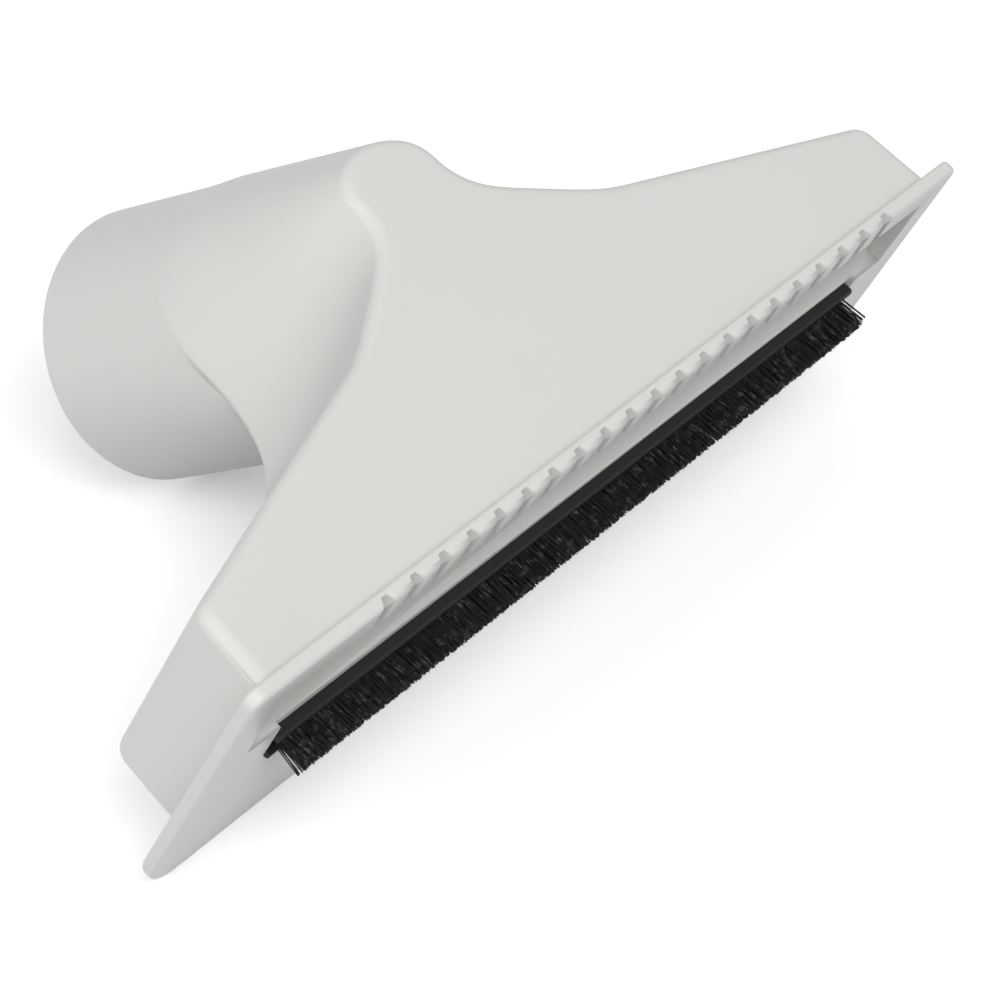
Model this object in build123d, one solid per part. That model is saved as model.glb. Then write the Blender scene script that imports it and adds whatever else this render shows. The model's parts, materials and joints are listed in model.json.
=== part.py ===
from build123d import *
import math
import os

# Vacuum upholstery nozzle: a hollow moulded head with a toothed rim, an inclined hose socket,
# and a strip brush that is pressed into a channel behind the suction slot.
#
# All sizes are millimetres. The head is drawn upright first: X runs along the mouth, Y from the
# toothed front lip to the back, Z up from the plane of the rim. The finished pieces are then laid
# on their back, as the nozzle comes to rest on a table.

# Rim around the mouth
RIM_LENGTH = 142.0
RIM_DEPTH = 44.0
RIM_THICKNESS = 2.0
RIM_FRONT_RADIUS = 2.0
RIM_BACK_RADIUS = 7.0
RIM_EDGE_FILLET = 0.6

# Teeth along the front lip
TOOTH_PITCH = 5.1
NOTCH_COUNT = 21
NOTCH_SHIFT = 2.5
NOTCH_WIDTH = 2.2
NOTCH_ROOT_WIDTH = 1.0
NOTCH_HEIGHT = 1.2

# Fan-shaped head
WALL = 2.5
HEAD_FRONT = 2.0
HEAD_BACK = 33.5
HEAD_LENGTH = 135.0
END_DRAFT = 1.0
END_HEIGHT = 13.2
SHOULDER_SLOPE = 17.3
NECK_REACH_FRONT = 21.0
NECK_REACH_BACK = 13.0
NECK_HALF_WIDTH_FRONT = 7.6
NECK_CROWN_FRONT = 6.5
NECK_PULL = 0.7
NECK_SWELL = 0.4
SHOULDER_END_FILLET = 3.0
FRONT_EDGE_FILLET = 1.8
BACK_EDGE_FILLET = 1.2
RIM_ROOT_FILLET = 1.2

# Hose socket
SOCKET_BORE = 32.0
SOCKET_WALL = 2.5
SOCKET_DEPTH = 30.0
SOCKET_STOP = 1.2
SOCKET_TILT = 32.3
SOCKET_END_Y = 58.8
SOCKET_END_Z = 61.1
SOCKET_LIP_FILLET = 0.8

# Brush channel behind the suction slot
SLOT_DEPTH = 12.0
RAIL_WALL = 1.8
RAIL_RECESS = 0.9
SHELF_ROOF = 2.0
CHANNEL_CLEARANCE = 0.1

# Strip brush
BACKING_LENGTH = 118.0
BACKING_WIDTH = 4.6
BACKING_HEIGHT = 3.6
BACKING_PROUD = 0.7
BACKING_FILLET = 0.5
BRISTLE_LENGTH = 115.0
BRISTLE_THICKNESS = 2.6
BRISTLE_ROOT = 2.4
BRISTLE_REACH = 4.7
BRISTLE_PITCH = 1.25
BRISTLE_GROOVE = 0.3

# Bezier handle length that draws a quarter of an ellipse
QUARTER_HANDLE = 0.5523
# Overlap that carries a cutting solid past the face it cuts
PAST = 1.0
# Distance below which two places count as one
TINY = 0.001

SOCKET_RADIUS = SOCKET_BORE / 2 + SOCKET_WALL
CROWN_RADIUS = SOCKET_RADIUS + NECK_SWELL
TILT = math.radians(SOCKET_TILT)
SLOPE = math.tan(math.radians(SHOULDER_SLOPE))
RAIL_FRONT = HEAD_FRONT + WALL + SLOT_DEPTH
CHANNEL_FRONT = RAIL_FRONT + RAIL_WALL
CHANNEL_WIDTH = BACKING_WIDTH + 2 * CHANNEL_CLEARANCE
CHANNEL_LENGTH = BACKING_LENGTH + 2 * CHANNEL_CLEARANCE
CHANNEL_ROOF = BACKING_HEIGHT - BACKING_PROUD
BRUSH_Y = CHANNEL_FRONT + CHANNEL_WIDTH / 2


def axis_height(y):
    """Height of the socket's axis above the rim plane at depth y."""
    return SOCKET_END_Z - (SOCKET_END_Y - y) * math.tan(TILT)


def head_section(y, share, inset):
    """Closed bell outline of the head in the plane at depth y, share of the way to the back."""
    end_foot = HEAD_LENGTH / 2 - inset
    end_top = end_foot - END_DRAFT
    end_z = END_HEIGHT - inset / math.cos(math.radians(SHOULDER_SLOPE))
    neck = NECK_HALF_WIDTH_FRONT + share * (CROWN_RADIUS - NECK_HALF_WIDTH_FRONT) - inset
    reach = NECK_REACH_FRONT + share * (NECK_REACH_BACK - NECK_REACH_FRONT)
    crown_top = axis_height(y) + (CROWN_RADIUS - inset) / math.cos(TILT)
    crown_back = CROWN_RADIUS / math.cos(TILT)
    crown = NECK_CROWN_FRONT + share * (crown_back - NECK_CROWN_FRONT) - inset

    def shoulder(x):
        return end_z + (end_top - x) * SLOPE

    root = (neck + reach, shoulder(neck + reach))
    corner = (neck, shoulder(neck))
    side = (neck, crown_top - crown)
    root_handle = tuple(a + NECK_PULL * (c - a) for a, c in zip(root, corner))
    side_handle = tuple(a + NECK_PULL * (c - a) for a, c in zip(side, corner))
    side_lift = (neck, side[1] + QUARTER_HANDLE * crown)
    top_lift = (QUARTER_HANDLE * neck, crown_top)
    top = (0, crown_top)

    def flip(point):
        return (-point[0], point[1])

    end_wall = [(end_foot, -PAST if inset else 0), (end_top, end_z)]
    half = [Line(*end_wall), Line(end_wall[1], root)]
    half.append(Bezier(root, root_handle, side_handle, side))
    half.append(Bezier(side, side_lift, top_lift, top))
    other = [Bezier(top, flip(top_lift), flip(side_lift), flip(side))]
    other.append(Bezier(flip(side), flip(side_handle), flip(root_handle), flip(root)))
    other.append(Line(flip(root), flip(end_wall[1])))
    other.append(Line(flip(end_wall[1]), flip(end_wall[0])))
    foot = Line(flip(end_wall[0]), end_wall[0])
    plane = Plane(origin=(0, y, 0), x_dir=(1, 0, 0), z_dir=(0, -1, 0))
    return plane * make_face(Wire(half + other + [foot]))


def head_solid(inset):
    """Loft of the head from its flat front face back to the plane where the socket leaves it."""
    front = HEAD_FRONT + inset
    back = HEAD_BACK - inset
    return loft([head_section(front, 0, inset), head_section(back, 1, inset)], ruled=True)


def socket_plane(depth):
    """Plane across the socket, a given depth in from its open end and facing out of it."""
    y = SOCKET_END_Y - depth * math.cos(TILT)
    z = SOCKET_END_Z - depth * math.sin(TILT)
    return Plane(origin=(0, y, z), x_dir=(1, 0, 0), z_dir=(0, math.cos(TILT), math.sin(TILT)))


def socket_rod(radius, start, length):
    """Cylinder along the socket's axis, from a depth of start inwards for a length."""
    plane = socket_plane(start + length)
    return plane * Cylinder(radius, length, align=(Align.CENTER, Align.CENTER, Align.MIN))


def box(x, y0, y1, z0, z1):
    """Box centred on X, between two depths and two heights."""
    return Pos(0, (y0 + y1) / 2, (z0 + z1) / 2) * Box(x, y1 - y0, z1 - z0)


def rim_plate():
    """Flat flange around the mouth, with tight front corners and rounder back ones."""
    plate = box(RIM_LENGTH, 0, RIM_DEPTH, 0, RIM_THICKNESS)
    corners = plate.edges().filter_by(Axis.Z).sort_by(Axis.Y)
    plate = fillet(corners[:2], RIM_FRONT_RADIUS)
    corners = plate.edges().filter_by(Axis.Z).sort_by(Axis.Y)
    plate = fillet(corners[-2:], RIM_BACK_RADIUS)
    faces = plate.faces().sort_by(Axis.Z)
    return fillet(faces[0].edges() + faces[-1].edges(), RIM_EDGE_FILLET)


def lies_across(edge, y):
    """Whether an edge lies in the plane at depth y, above the foot of the head."""
    points = [edge.position_at(share) for share in (0, 0.5, 1)]
    return all(abs(point.Y - y) < TINY for point in points) and points[1].Z > TINY


def outer_head():
    """Outside of the head, with the edges of its ends, front face and back face rounded."""
    head = head_solid(0)
    end_top = HEAD_LENGTH / 2 - END_DRAFT
    ends = head.edges().filter_by(lambda edge: abs(abs(edge.center().X) - end_top) < TINY)
    head = fillet(ends, SHOULDER_END_FILLET)
    front = head.edges().filter_by(lambda edge: lies_across(edge, HEAD_FRONT))
    head = fillet(front, FRONT_EDGE_FILLET)
    back = head.edges().filter_by(lambda edge: lies_across(edge, HEAD_BACK))
    return fillet(back, BACK_EDGE_FILLET)


def socket_tube():
    """Outside of the socket, from its open end to just inside the back of the head."""
    reach = (SOCKET_END_Y - HEAD_BACK) / math.cos(TILT) + 2 * SOCKET_RADIUS
    rod = socket_rod(SOCKET_RADIUS, 0, reach)
    lip = rod.faces().sort_by(Axis.Y)[-1]
    rod = fillet(lip.edges(), SOCKET_LIP_FILLET)
    return rod - box(RIM_LENGTH, -reach, HEAD_BACK - NECK_SWELL, -reach, 2 * reach)


def notches():
    """Row of tapered notches that leaves the teeth on the front lip."""
    foot = NOTCH_WIDTH / 2
    root = NOTCH_ROOT_WIDTH / 2
    flare = (foot - root) / NOTCH_HEIGHT * PAST
    points = [(-foot - flare, -PAST), (foot + flare, -PAST), (root, NOTCH_HEIGHT), (-root, NOTCH_HEIGHT)]
    plane = Plane(origin=(0, -PAST, 0), x_dir=(1, 0, 0), z_dir=(0, -1, 0))
    notch = extrude(plane * make_face(Polyline(*points, close=True)), -(HEAD_FRONT + WALL + 2 * PAST))
    first = NOTCH_SHIFT - (NOTCH_COUNT - 1) * TOOTH_PITCH / 2
    return [Pos(first + i * TOOTH_PITCH, 0, 0) * notch for i in range(NOTCH_COUNT)]


def brush_shelf():
    """Shelf behind the suction slot, with the channel that the brush is pressed into."""
    inside = HEAD_LENGTH - WALL
    shelf = box(inside, RAIL_FRONT, HEAD_BACK - WALL / 2, 0, CHANNEL_ROOF + SHELF_ROOF)
    channel = box(CHANNEL_LENGTH, CHANNEL_FRONT, CHANNEL_FRONT + CHANNEL_WIDTH, -PAST, CHANNEL_ROOF)
    recess = box(CHANNEL_LENGTH, RAIL_FRONT - PAST, CHANNEL_FRONT + PAST, -PAST, RAIL_RECESS)
    return shelf - channel - recess


def nozzle_body():
    """The whole moulding: head, rim and socket, hollow from the mouth to the socket's end."""
    outside = outer_head() + socket_tube() + rim_plate()
    reach = (SOCKET_END_Y - HEAD_BACK) / math.cos(TILT) + 2 * SOCKET_RADIUS
    passage = socket_rod(SOCKET_BORE / 2 - SOCKET_STOP, -PAST, reach)
    passage -= box(RIM_LENGTH, -reach, HEAD_BACK - WALL - PAST, -reach, 2 * reach)
    hollow = head_solid(WALL) + passage
    hollow += socket_rod(SOCKET_BORE / 2, -PAST, SOCKET_DEPTH + PAST)
    return outside - hollow + brush_shelf() - notches()


def brush_backing():
    """Grooved strip that carries the bristles and sits in the channel."""
    bottom = -BACKING_PROUD
    back = BRUSH_Y + BACKING_WIDTH / 2
    strip = box(BACKING_LENGTH, back - BACKING_WIDTH, back, bottom, bottom + BACKING_HEIGHT)
    strip = fillet(strip.edges().filter_by(Axis.X).sort_by(Axis.Z)[:2], BACKING_FILLET)
    half = BRISTLE_THICKNESS / 2
    groove = box(BACKING_LENGTH + PAST, BRUSH_Y - half, BRUSH_Y + half, bottom - PAST, bottom + BRISTLE_ROOT)
    return strip - groove


def brush_bristles():
    """Bristles as one strip, fluted on both faces and clamped in the backing's groove."""
    half = BRISTLE_THICKNESS / 2
    root = box(BRISTLE_LENGTH, BRUSH_Y - half, BRUSH_Y + half, -BACKING_PROUD, BRISTLE_ROOT - BACKING_PROUD)
    count = round(BRISTLE_LENGTH / BRISTLE_PITCH)
    step = BRISTLE_LENGTH / count
    start = -BRISTLE_LENGTH / 2
    front = []
    for i in range(count):
        front.append((start + i * step, BRUSH_Y - half + BRISTLE_GROOVE))
        front.append((start + (i + 0.5) * step, BRUSH_Y - half))
    front.append((-start, BRUSH_Y - half + BRISTLE_GROOVE))
    back = [(x, 2 * BRUSH_Y - y) for x, y in reversed(front)]
    outline = make_face(Polyline(*front, *back, close=True))
    tufts = Pos(0, 0, -BRISTLE_REACH) * extrude(outline, BRISTLE_REACH - BACKING_PROUD)
    return root + tufts


def resting_turn():
    """Angle about X that lays the rim's back edge and the socket's end on one level."""
    heel = (RIM_DEPTH, RIM_EDGE_FILLET)
    tip_y = SOCKET_END_Y + SOCKET_RADIUS * math.sin(TILT)
    tip_z = SOCKET_END_Z - SOCKET_RADIUS * math.cos(TILT)
    return -math.degrees(math.atan2(tip_z - heel[1], tip_y - heel[0]))


def main():
    """Builds every piece, lays it down and writes it as a STEP file."""
    os.makedirs("parts", exist_ok=True)
    upright = {
        "nozzle_body": nozzle_body(),
        "brush_backing": brush_backing(),
        "brush_bristles": brush_bristles(),
    }
    turn = Rot(resting_turn(), 0, 0)
    lying = {name: turn * piece for name, piece in upright.items()}
    bounds = lying["nozzle_body"].bounding_box()
    seat = Pos(0, -(bounds.min.Y + bounds.max.Y) / 2, -bounds.min.Z)
    for name, piece in lying.items():
        export_step(seat * piece, f"parts/{name}.step")
        print(name, round(piece.volume, 1))


main()
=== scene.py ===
"""Studio scene of a vacuum upholstery nozzle with its strip brush, lying on a pale table."""

import json
import logging
import math
from dataclasses import dataclass, field
from enum import Enum

import bmesh
import bpy
from mathutils import Matrix, Vector


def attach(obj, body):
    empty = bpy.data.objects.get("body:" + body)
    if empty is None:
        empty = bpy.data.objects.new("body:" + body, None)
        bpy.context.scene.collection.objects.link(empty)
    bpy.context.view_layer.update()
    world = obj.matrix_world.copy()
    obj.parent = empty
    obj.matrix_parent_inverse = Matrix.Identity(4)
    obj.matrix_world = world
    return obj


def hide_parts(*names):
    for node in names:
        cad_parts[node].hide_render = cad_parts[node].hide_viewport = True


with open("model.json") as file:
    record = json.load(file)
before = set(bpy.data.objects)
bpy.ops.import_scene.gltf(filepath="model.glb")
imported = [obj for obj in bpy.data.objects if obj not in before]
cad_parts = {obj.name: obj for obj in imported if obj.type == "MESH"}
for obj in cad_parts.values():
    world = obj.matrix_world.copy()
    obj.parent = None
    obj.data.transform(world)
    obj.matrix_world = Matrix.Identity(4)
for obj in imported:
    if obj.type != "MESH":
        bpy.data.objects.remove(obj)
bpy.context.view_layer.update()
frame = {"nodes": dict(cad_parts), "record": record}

LOG = logging.getLogger("nozzle_scene")
BODY = "root"
MM = 0.001
NODE_SPACING = 180
WHITE = (1.0, 1.0, 1.0, 1.0)
PALE_GREY = (0.665, 0.672, 0.648)
BACKING_BLACK = (0.009, 0.009, 0.011)
FIBRE_BLACK = (0.012, 0.012, 0.014)
FIBRE_GREY = (0.12, 0.115, 0.135)


class Sheen(Enum):
    """How polished the mould left a plastic piece."""

    SATIN = 0.40
    DULL = 0.62


def mount(name: str) -> dict:
    """Finds one of the model's mounts.

    Args:
        name: The mount's name.

    Returns:
        Its entry in the record.
    """
    return next(entry for entry in frame["record"]["mounts"] if entry["name"] == name)


def axes_of_mouth() -> tuple[Vector, Vector, Vector]:
    """Reads the mouth's own axes from the face that lies on the fabric.

    Returns:
        Unit vectors along the mouth, from its toothed lip to its back, and into the head.
    """
    inwards = -Vector(mount("rim_face")["axis"]).normalized()
    along = Vector((1, 0, 0))
    return along, inwards.cross(along), inwards


def span(node: str, axis: Vector) -> tuple[float, float]:
    """Measures how far a node of the model reaches along an axis.

    Args:
        node: The node's name.
        axis: A unit vector in the row frame.

    Returns:
        The lowest and the highest reach, in metres.
    """
    reach = [vertex.co.dot(axis) for vertex in frame["nodes"][node].data.vertices]
    return min(reach), max(reach)


def ramp(value: float, low: float, high: float) -> float:
    """Rises smoothly from 0 at the low mark to 1 at the high one.

    Args:
        value: Where to read the rise.
        low: The mark up to which it is 0.
        high: The mark from which it is 1.

    Returns:
        The share of the rise.
    """
    share = min(max((value - low) / (high - low), 0.0), 1.0)
    return share * share * (3 - 2 * share)


def evaluated_mesh(piece: bpy.types.Object) -> bpy.types.Mesh:
    """Turns an object with its modifier into a plain mesh.

    Args:
        piece: The object.

    Returns:
        The mesh that the modifier makes.
    """
    graph = bpy.context.evaluated_depsgraph_get()
    return bpy.data.meshes.new_from_object(piece.evaluated_get(graph), depsgraph=graph)


class NodeTree:
    """Small helper that adds and wires nodes in a material or geometry tree."""

    def __init__(self, tree: bpy.types.NodeTree) -> None:
        """Starts from a tree that may already hold nodes.

        Args:
            tree: The tree that gets the nodes.
        """
        self.tree = tree
        self.column = 0

    def add(self, kind: str, **settings: object) -> bpy.types.Node:
        """Adds one node.

        Args:
            kind: The node's type name.
            settings: Properties to set on it.

        Returns:
            The new node.
        """
        node = self.tree.nodes.new(kind)
        node.location = (self.column * NODE_SPACING, 0)
        self.column += 1
        for name, value in settings.items():
            setattr(node, name, value)
        return node

    def give(self, target: bpy.types.NodeSocket, value: object) -> None:
        """Wires an output to an input, or sets the input to a plain value.

        Args:
            target: The input.
            value: Another node's output, or the value.
        """
        if isinstance(value, bpy.types.NodeSocket):
            self.tree.links.new(value, target)
        else:
            target.default_value = value

    def feed(self, node: bpy.types.Node, **values: object) -> None:
        """Gives inputs their outputs or values by name, with underscores for spaces.

        Args:
            node: The node whose inputs are given.
            values: An output or a plain value for each input.
        """
        for name, value in values.items():
            self.give(node.inputs[name.replace("_", " ")], value)

    def reckon(self, operation: str, first: object, second: object) -> bpy.types.NodeSocket:
        """Adds a math node.

        Args:
            operation: What it works out.
            first: Its first output or number.
            second: Its second output or number.

        Returns:
            The output that carries the result.
        """
        node = self.add("ShaderNodeMath", operation=operation)
        self.give(node.inputs[0], first)
        self.give(node.inputs[1], second)
        return node.outputs["Value"]

    def noise(
        self, place: bpy.types.NodeSocket, scale: float, detail: float, roughness: float
    ) -> bpy.types.NodeSocket:
        """Adds a noise.

        Args:
            place: The output that carries the place.
            scale: How fine it is.
            detail: How many finer layers it has.
            roughness: How much the finer layers count.

        Returns:
            The output that carries its strength.
        """
        node = self.add("ShaderNodeTexNoise")
        self.feed(node, Vector=place, Scale=scale, Detail=detail, Roughness=roughness)
        return node.outputs["Fac"]

    def blend(self, share: bpy.types.NodeSocket, low: tuple, high: tuple) -> bpy.types.NodeSocket:
        """Adds a mix of two colours.

        Args:
            share: The output that says how much of the second colour shows.
            low: The first colour, with its alpha.
            high: The second colour, with its alpha.

        Returns:
            The output that carries the colour.
        """
        node = self.add("ShaderNodeMix", data_type="RGBA")
        self.feed(node, Factor=share, A=low, B=high)
        return node.outputs["Result"]

    def chance(self, seed: bpy.types.NodeSocket, low: tuple, high: tuple) -> bpy.types.NodeSocket:
        """Adds a random vector that differs from point to point.

        Args:
            seed: The output that carries the seed.
            low: The lowest vector.
            high: The highest vector.

        Returns:
            The output that carries the vector.
        """
        node = self.add("FunctionNodeRandomValue", data_type="FLOAT_VECTOR")
        self.feed(node, Min=low, Max=high, Seed=seed)
        return node.outputs["Value"]


def blank_material(name: str) -> tuple[bpy.types.Material, NodeTree, bpy.types.Node]:
    """Starts a material.

    Args:
        name: The material's name.

    Returns:
        The material, the helper of its tree, and its shader.
    """
    material = bpy.data.materials.new(name)
    material.use_nodes = True
    return material, NodeTree(material.node_tree), material.node_tree.nodes["Principled BSDF"]


@dataclass(frozen=True)
class MouldedPlastic:
    """Moulded plastic with a fine mould grain and a faint change of tone and gloss."""

    name: str
    colour: tuple[float, float, float]
    tone: float = 0.010
    sheen: Sheen = Sheen.SATIN
    sheen_spread: float = 0.05
    cloud_scale: float = 42.0
    cloud_detail: float = 3.0
    cloud_roughness: float = 0.55
    grain: float = 0.32 * MM
    grain_detail: float = 2.0
    grain_roughness: float = 0.6
    grain_strength: float = 0.6
    grain_depth: float = 0.010 * MM
    ior: float = 1.46

    def build(self) -> bpy.types.Material:
        """Makes the material.

        Returns:
            The finished material.
        """
        material, kit, shader = blank_material(self.name)
        place = kit.add("ShaderNodeTexCoord").outputs["Object"]
        cloud = kit.noise(place, self.cloud_scale, self.cloud_detail, self.cloud_roughness)
        darker = (*[max(c - self.tone, 0.0) for c in self.colour], 1.0)
        lighter = (*[min(c + self.tone, 1.0) for c in self.colour], 1.0)
        kit.feed(shader, Base_Color=kit.blend(cloud, darker, lighter), IOR=self.ior)
        gloss = kit.add("ShaderNodeMapRange")
        kit.feed(gloss, Value=cloud)
        kit.feed(gloss, To_Min=self.sheen.value - self.sheen_spread)
        kit.feed(gloss, To_Max=self.sheen.value + self.sheen_spread)
        grain = kit.noise(place, 1.0 / self.grain, self.grain_detail, self.grain_roughness)
        bump = kit.add("ShaderNodeBump")
        kit.feed(bump, Strength=self.grain_strength, Distance=self.grain_depth, Height=grain)
        kit.feed(shader, Roughness=gloss.outputs["Result"], Normal=bump.outputs["Normal"])
        return material


@dataclass(frozen=True)
class BristleFibre:
    """Near-black nylon fibre with a scatter of paler specks."""

    name: str
    dark: tuple[float, float, float]
    pale: tuple[float, float, float]
    speck_scale: float = 850.0
    speck_detail: float = 2.0
    speck_roughness: float = 0.6
    speck_start: float = 0.56
    speck_full: float = 0.74
    roughness: float = 0.7
    ior: float = 1.35

    def build(self) -> bpy.types.Material:
        """Makes the material.

        Returns:
            The finished material.
        """
        material, kit, shader = blank_material(self.name)
        place = kit.add("ShaderNodeTexCoord").outputs["Object"]
        speck = kit.noise(place, self.speck_scale, self.speck_detail, self.speck_roughness)
        share = kit.add("ShaderNodeMapRange")
        kit.feed(share, Value=speck, From_Min=self.speck_start, From_Max=self.speck_full)
        tint = kit.blend(share.outputs["Result"], (*self.dark, 1.0), (*self.pale, 1.0))
        kit.feed(shader, Base_Color=tint, Roughness=self.roughness, IOR=self.ior)
        return material


@dataclass
class HousingSkin:
    """The moulded head, rim and socket, shaded as smooth faces and eased round the neck.

    The easing keeps the model's form. It makes the roots of the neck a little fuller in front, and
    closes the fine groove and step where the socket leaves the head. Depths run from the toothed
    lip to the back, and heights from the rim into the head.
    """

    crease_degrees: float = 32.0
    weld: float = 0.002 * MM
    slice_step: float = 1.5 * MM
    slice_snap: float = 0.02 * MM
    neck_half: float = 33.0 * MM
    neck_depth: tuple[float, float] = (3.0 * MM, 22.5 * MM)
    neck_foot: tuple[float, float] = (17.0 * MM, 25.0 * MM)
    root_ease: float = 1.5 * MM
    root_middle: float = 14.5 * MM
    root_half: float = 12.0 * MM
    ease_depth: tuple[float, float] = (2.0 * MM, 22.0 * MM)
    socket_radius: float = 18.5 * MM
    step_depth: tuple[float, float] = (24.0 * MM, 32.0 * MM)
    step_height: tuple[float, float] = (0.5 * MM, 2.0 * MM)
    step_fade: tuple[float, float] = (0.0, 0.2)
    groove_depth: float = 0.7 * MM
    groove_front: tuple[float, float] = (32.0 * MM, 32.3 * MM)
    groove_back: float = 33.6 * MM
    along: Vector = field(init=False)
    back: Vector = field(init=False)
    inwards: Vector = field(init=False)
    lip: float = field(init=False)
    rim: float = field(init=False)
    socket_place: Vector = field(init=False)
    socket_axis: Vector = field(init=False)

    def __post_init__(self) -> None:
        """Reads from the model where the mouth and the socket lie."""
        self.along, self.back, self.inwards = axes_of_mouth()
        self.lip = span("nozzle_body", self.back)[0]
        self.rim = span("nozzle_body", self.inwards)[0]
        socket = mount("hose_socket")
        self.socket_place = Vector(socket["pos_m"])
        self.socket_axis = Vector(socket["axis"]).normalized()

    def build(self, material: bpy.types.Material) -> None:
        """Makes the skin from a welded copy of the model's own faces.

        Args:
            material: The finish of the moulding.
        """
        welded = bmesh.new()
        welded.from_mesh(frame["nodes"]["nozzle_body"].data)
        bmesh.ops.remove_doubles(welded, verts=welded.verts, dist=self.weld)
        self.divide(welded)
        for vertex in welded.verts:
            vertex.co = self.eased(vertex.co)
        mesh = bpy.data.meshes.new("housing_skin")
        welded.to_mesh(mesh)
        welded.free()
        mesh.shade_smooth()
        mesh.set_sharp_from_angle(angle=math.radians(self.crease_degrees))
        self.soften_step(mesh)
        mesh.materials.clear()
        mesh.materials.append(material)
        skin = bpy.data.objects.new("housing_skin", mesh)
        bpy.context.scene.collection.objects.link(skin)
        weigh = skin.modifiers.new("flat_faces_first", "WEIGHTED_NORMAL")
        weigh.keep_sharp = True
        skin.data = evaluated_mesh(skin)
        skin.modifiers.clear()
        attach(skin, BODY)
        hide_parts("nozzle_body")
        LOG.info("housing_skin: %d faces", len(skin.data.polygons))

    def divide(self, welded: bmesh.types.BMesh) -> None:
        """Cuts the faces into a lattice round the neck, so that it can be eased.

        Args:
            welded: The mesh to cut.
        """
        columns = round(self.neck_half / self.slice_step)
        cuts = [(self.along, i * self.slice_step) for i in range(-columns, columns + 1)]
        first, last = self.neck_depth
        rows = round((last - first) / self.slice_step)
        cuts += [(self.back, self.lip + first + i * self.slice_step) for i in range(rows + 1)]
        for axis, reach in cuts:
            faces = [face for face in welded.faces if self.near_neck(face)]
            edges = {edge for face in faces for edge in face.edges}
            corners = {vertex for face in faces for vertex in face.verts}
            bmesh.ops.bisect_plane(
                welded,
                geom=[*corners, *edges, *faces],
                dist=self.slice_snap,
                plane_co=axis * reach,
                plane_no=axis,
            )
        bmesh.ops.triangulate(welded, faces=welded.faces)

    def near_neck(self, face: bmesh.types.BMFace) -> bool:
        """Tells whether a face reaches into the part of the head that is eased in front.

        Args:
            face: A face of the moulding.

        Returns:
            True if it does.
        """
        high = any(v.co.dot(self.inwards) - self.rim > self.neck_foot[0] for v in face.verts)
        near = any(v.co.dot(self.back) - self.lip < self.neck_depth[1] for v in face.verts)
        return high and near and any(abs(v.co.dot(self.along)) < self.neck_half for v in face.verts)

    def off_socket(self, place: Vector) -> tuple[Vector, float]:
        """Measures a point against the outside of the socket.

        Args:
            place: The point, in the row frame.

        Returns:
            The unit vector straight out from the socket's axis, and how far the point lies
            outside the socket's wall.
        """
        beside = place - self.socket_place
        radial = beside - self.socket_axis * beside.dot(self.socket_axis)
        return radial.normalized(), radial.length - self.socket_radius

    def eased(self, place: Vector) -> Vector:
        """Moves one point of the moulding to its eased place.

        Args:
            place: The point, in the row frame.

        Returns:
            Its eased place.
        """
        outwards, proud = self.off_socket(place)
        depth = place.dot(self.back) - self.lip
        moved = place.copy()
        if -self.groove_depth < proud and depth < self.groove_back:
            marks = self.step_depth if proud > 0 else self.groove_front
            share = ramp(depth, *marks) * (1 - ramp(proud, *self.step_height))
            share *= ramp(outwards.dot(self.inwards), *self.step_fade)
            moved -= outwards * proud * share
        side = abs(place.dot(self.along))
        height = place.dot(self.inwards) - self.rim
        root = self.root_ease * (1 - ramp(abs(side - self.root_middle), 0.0, self.root_half))
        share = ramp(height, *self.neck_foot) * (1 - ramp(depth, *self.ease_depth))
        return moved + self.inwards * root * share

    def soften_step(self, mesh: bpy.types.Mesh) -> None:
        """Shades the eased step between the socket and the head as one surface.

        Args:
            mesh: The skin's mesh.
        """
        for edge in mesh.edges:
            start, end = [mesh.vertices[i].co for i in edge.vertices]
            middle = (start + end) / 2
            depth = middle.dot(self.back) - self.lip
            near = abs(self.off_socket(middle)[1]) < self.step_height[0]
            if near and self.step_depth[0] < depth < self.groove_back + self.slice_step:
                edge.use_edge_sharp = False


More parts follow.
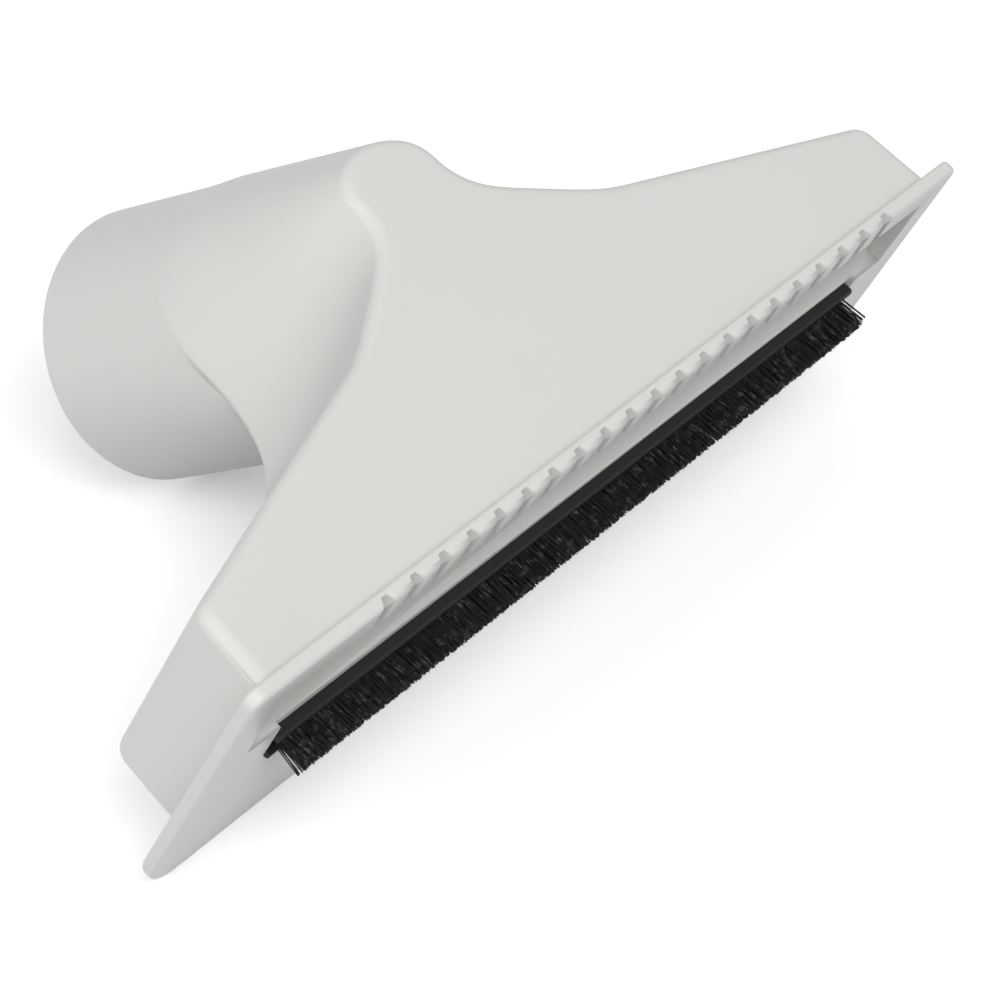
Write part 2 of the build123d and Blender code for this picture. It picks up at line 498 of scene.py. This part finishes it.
@dataclass
class StripBrush:
    """Rows of fibres that stand in the backing's groove and splay a little below it."""

    fibre_radius: float = 0.10 * MM
    fibre_sides: int = 5
    tip_share: float = 0.75
    pitch: float = 0.27 * MM
    rows: int = 11
    side_margin: float = 0.12 * MM
    wander: float = 0.10 * MM
    lean: float = 0.045
    splay: float = 0.13
    shortest: float = 0.955
    seed: int = 11

    def build(self, material: bpy.types.Material) -> None:
        """Grows the fibres over the place of the model's bristle strip.

        Args:
            material: The finish of the fibres.
        """
        along, back, inwards = axes_of_mouth()
        along_span = span("brush_bristles", along)
        back_span = span("brush_bristles", back)
        depth_span = span("brush_bristles", inwards)
        empty = bpy.data.meshes.new("strip_brush_fibres")
        brush = bpy.data.objects.new("strip_brush_fibres", empty)
        bpy.context.scene.collection.objects.link(brush)
        tree = self.fibre_tree(material)
        grower = brush.modifiers.new("fibre_rows", "NODES")
        grower.node_group = tree
        length = along_span[1] - along_span[0] - 2 * self.side_margin
        values = {
            "Length": length,
            "Width": back_span[1] - back_span[0] - 2 * self.side_margin,
            "Columns": round(length / self.pitch) + 1,
            "Rows": self.rows,
            "Fibre Length": depth_span[1] - depth_span[0],
            "Fibre Radius": self.fibre_radius,
            "Seed": self.seed,
        }
        for item in tree.interface.items_tree:
            if item.name in values:
                grower[item.identifier] = values[item.name]
        mesh = evaluated_mesh(brush)
        brush.modifiers.clear()
        middle = along * sum(along_span) / 2 + back * sum(back_span) / 2 + inwards * depth_span[1]
        turn = Matrix((along, -back, -inwards)).transposed().to_4x4()
        mesh.transform(Matrix.Translation(middle) @ turn)
        brush.data = mesh
        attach(brush, BODY)
        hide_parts("brush_bristles")
        LOG.info("strip_brush_fibres: %d faces", len(mesh.polygons))

    def fibre_tree(self, material: bpy.types.Material) -> bpy.types.NodeTree:
        """Builds the geometry tree that plants leaning fibres on a grid.

        Args:
            material: The finish of the fibres.

        Returns:
            The finished tree.
        """
        tree = bpy.data.node_groups.new("fibre_rows", "GeometryNodeTree")
        for name in ("Length", "Width", "Fibre Length", "Fibre Radius"):
            tree.interface.new_socket(name, in_out="INPUT", socket_type="NodeSocketFloat")
        for name in ("Columns", "Rows", "Seed"):
            tree.interface.new_socket(name, in_out="INPUT", socket_type="NodeSocketInt")
        tree.interface.new_socket("Fibres", in_out="OUTPUT", socket_type="NodeSocketGeometry")
        kit = NodeTree(tree)
        given = kit.add("NodeGroupInput")
        seed = given.outputs["Seed"]
        radius = given.outputs["Fibre Radius"]
        grid = kit.add("GeometryNodeMeshGrid")
        kit.feed(grid, Size_X=given.outputs["Length"], Size_Y=given.outputs["Width"])
        kit.feed(grid, Vertices_X=given.outputs["Columns"], Vertices_Y=given.outputs["Rows"])
        drift = kit.chance(seed, (-self.wander, -self.wander, 0.0), (self.wander, self.wander, 0.0))
        scatter = kit.add("GeometryNodeSetPosition")
        kit.feed(scatter, Geometry=grid.outputs["Mesh"], Offset=drift)
        fibre = kit.add("GeometryNodeMeshCone", fill_type="NGON")
        kit.feed(fibre, Vertices=self.fibre_sides, Depth=given.outputs["Fibre Length"])
        kit.feed(fibre, Radius_Bottom=radius)
        kit.feed(fibre, Radius_Top=kit.reckon("MULTIPLY", radius, self.tip_share))
        plant = kit.add("GeometryNodeInstanceOnPoints")
        kit.feed(plant, Points=scatter.outputs["Geometry"], Instance=fibre.outputs["Mesh"])
        kit.feed(plant, Rotation=self.leaning(kit, given))
        kit.feed(plant, Scale=kit.chance(seed, (1.0, 1.0, self.shortest), (1.0, 1.0, 1.0)))
        real = kit.add("GeometryNodeRealizeInstances")
        kit.feed(real, Geometry=plant.outputs["Instances"])
        finish = kit.add("GeometryNodeSetMaterial")
        kit.feed(finish, Geometry=real.outputs["Geometry"], Material=material)
        result = kit.add("NodeGroupOutput")
        kit.feed(result, Fibres=finish.outputs["Geometry"])
        return tree

    def leaning(self, kit: NodeTree, given: bpy.types.Node) -> bpy.types.NodeSocket:
        """Adds the nodes that lean each fibre at random and outwards by its place in the rows.

        Args:
            kit: The tree's helper.
            given: The tree's input node.

        Returns:
            The output that carries the rotation.
        """
        low = (-self.lean, -self.lean, -math.pi)
        high = (self.lean, self.lean, math.pi)
        sway = kit.chance(given.outputs["Seed"], low, high)
        where = kit.add("GeometryNodeInputPosition")
        parts = kit.add("ShaderNodeSeparateXYZ")
        kit.feed(parts, Vector=where.outputs["Position"])
        share = kit.reckon("DIVIDE", parts.outputs["Y"], given.outputs["Width"])
        outward = kit.add("ShaderNodeCombineXYZ")
        kit.feed(outward, X=kit.reckon("MULTIPLY", share, -2 * self.splay))
        total = kit.add("ShaderNodeVectorMath", operation="ADD")
        kit.give(total.inputs[0], sway)
        kit.give(total.inputs[1], outward.outputs["Vector"])
        turn = kit.add("FunctionNodeEulerToRotation")
        kit.feed(turn, Euler=total.outputs["Vector"])
        return turn.outputs["Rotation"]


@dataclass(frozen=True)
class SoftLamp:
    """A square lamp with soft edges to its shadows."""

    name: str
    place: tuple[float, float, float]
    size: float
    watts: float

    def build(self, aim: Vector) -> None:
        """Adds the lamp.

        Args:
            aim: The point that it shines at, in metres.
        """
        data = bpy.data.lights.new(self.name, "AREA")
        data.size = self.size
        data.energy = self.watts
        lamp = bpy.data.objects.new(self.name, data)
        lamp.location = self.place
        lamp.rotation_euler = (aim - Vector(self.place)).to_track_quat("-Z", "Y").to_euler()
        bpy.context.scene.collection.objects.link(lamp)


@dataclass
class Studio:
    """Floor, world and lamps."""

    floor_size: float = 6.0
    floor_roughness: float = 0.9
    floor_seen: float = 0.93
    floor_lift: float = 0.30
    floor_bounce: float = 0.55
    world_strength: float = 0.48
    aim: tuple[float, float, float] = (0.0, 0.0, 0.03)
    key: SoftLamp = SoftLamp("key_lamp", (-0.5, -0.9, 1.1), size=0.9, watts=12.0)
    fill: SoftLamp = SoftLamp("fill_lamp", (-1.2, 0.2, 0.8), size=1.2, watts=6.0)

    def build(self) -> None:
        """Sets up the world, the floor and the lamps."""
        self.world()
        self.floor()
        for lamp in (self.key, self.fill):
            lamp.build(Vector(self.aim))

    def world(self) -> None:
        """Sets even pale light from all round."""
        world = bpy.data.worlds.new("pale_room")
        bpy.context.scene.world = world
        world.use_nodes = True
        back = world.node_tree.nodes["Background"]
        back.inputs["Color"].default_value = WHITE
        back.inputs["Strength"].default_value = self.world_strength

    def floor(self) -> None:
        """Lays a pale floor that shows as plain white beside the nozzle's soft shadow."""
        half = self.floor_size / 2
        mesh = bpy.data.meshes.new("studio_floor")
        corners = [(-half, -half, 0), (half, -half, 0), (half, half, 0), (-half, half, 0)]
        mesh.from_pydata(corners, [], [(0, 1, 2, 3)])
        floor = bpy.data.objects.new("studio_floor", mesh)
        bpy.context.scene.collection.objects.link(floor)
        mesh.materials.append(self.floor_finish())

    def floor_finish(self) -> bpy.types.Material:
        """Makes the floor's material.

        Returns:
            A material that is paler to the camera and in gloss than in the light that it returns.
        """
        material, kit, shader = blank_material("pale_floor")
        path = kit.add("ShaderNodeLightPath")
        seen = kit.reckon("MAXIMUM", path.outputs["Is Camera Ray"], path.outputs["Is Glossy Ray"])
        tone = kit.blend(seen, (*[self.floor_bounce] * 3, 1.0), (*[self.floor_seen] * 3, 1.0))
        kit.feed(shader, Base_Color=tone, Roughness=self.floor_roughness)
        kit.feed(shader, Emission_Color=WHITE)
        kit.feed(shader, Emission_Strength=kit.reckon("MULTIPLY", seen, self.floor_lift))
        return material


@dataclass
class Viewpoint:
    """Camera that stands where the photograph was taken from."""

    place: tuple[float, float, float] = (-280.597 * MM, -244.473 * MM, 267.796 * MM)
    forward: tuple[float, float, float] = (0.64075, 0.50656, -0.57692)
    right: tuple[float, float, float] = (0.61025, -0.79201, -0.01766)
    lens_mm: float = 124.665
    sensor_mm: float = 36.0
    nearest: float = 0.01
    farthest: float = 50.0

    def build(self) -> None:
        """Adds the camera and makes it the scene's."""
        data = bpy.data.cameras.new("viewpoint")
        data.lens = self.lens_mm
        data.sensor_width = self.sensor_mm
        data.clip_start = self.nearest
        data.clip_end = self.farthest
        camera = bpy.data.objects.new("viewpoint", data)
        back = -Vector(self.forward).normalized()
        right = Vector(self.right).normalized()
        up = back.cross(right)
        turn = Matrix((right, up, back)).transposed().to_4x4()
        camera.matrix_world = Matrix.Translation(Vector(self.place)) @ turn
        bpy.context.scene.collection.objects.link(camera)
        bpy.context.scene.camera = camera


def dress(node: str, material: bpy.types.Material) -> None:
    """Gives a node of the model its material.

    Args:
        node: The node's name.
        material: The material for all of its faces.
    """
    piece = frame["nodes"][node]
    piece.data.materials.clear()
    piece.data.materials.append(material)
    LOG.info("%s: dressed with %s", node, material.name)


def main() -> None:
    """Builds the scene in order."""
    logging.basicConfig(level=logging.INFO)
    bpy.context.scene.view_settings.view_transform = "Standard"
    Viewpoint().build()
    Studio().build()
    housing = MouldedPlastic("pale_grey_plastic", PALE_GREY)
    backing = MouldedPlastic("dark_backing_plastic", BACKING_BLACK, tone=0.003, sheen=Sheen.DULL)
    fibres = BristleFibre("dark_nylon", FIBRE_BLACK, FIBRE_GREY)
    HousingSkin().build(housing.build())
    dress("brush_backing", backing.build())
    StripBrush().build(fibres.build())


if __name__ == "__main__":
    main()
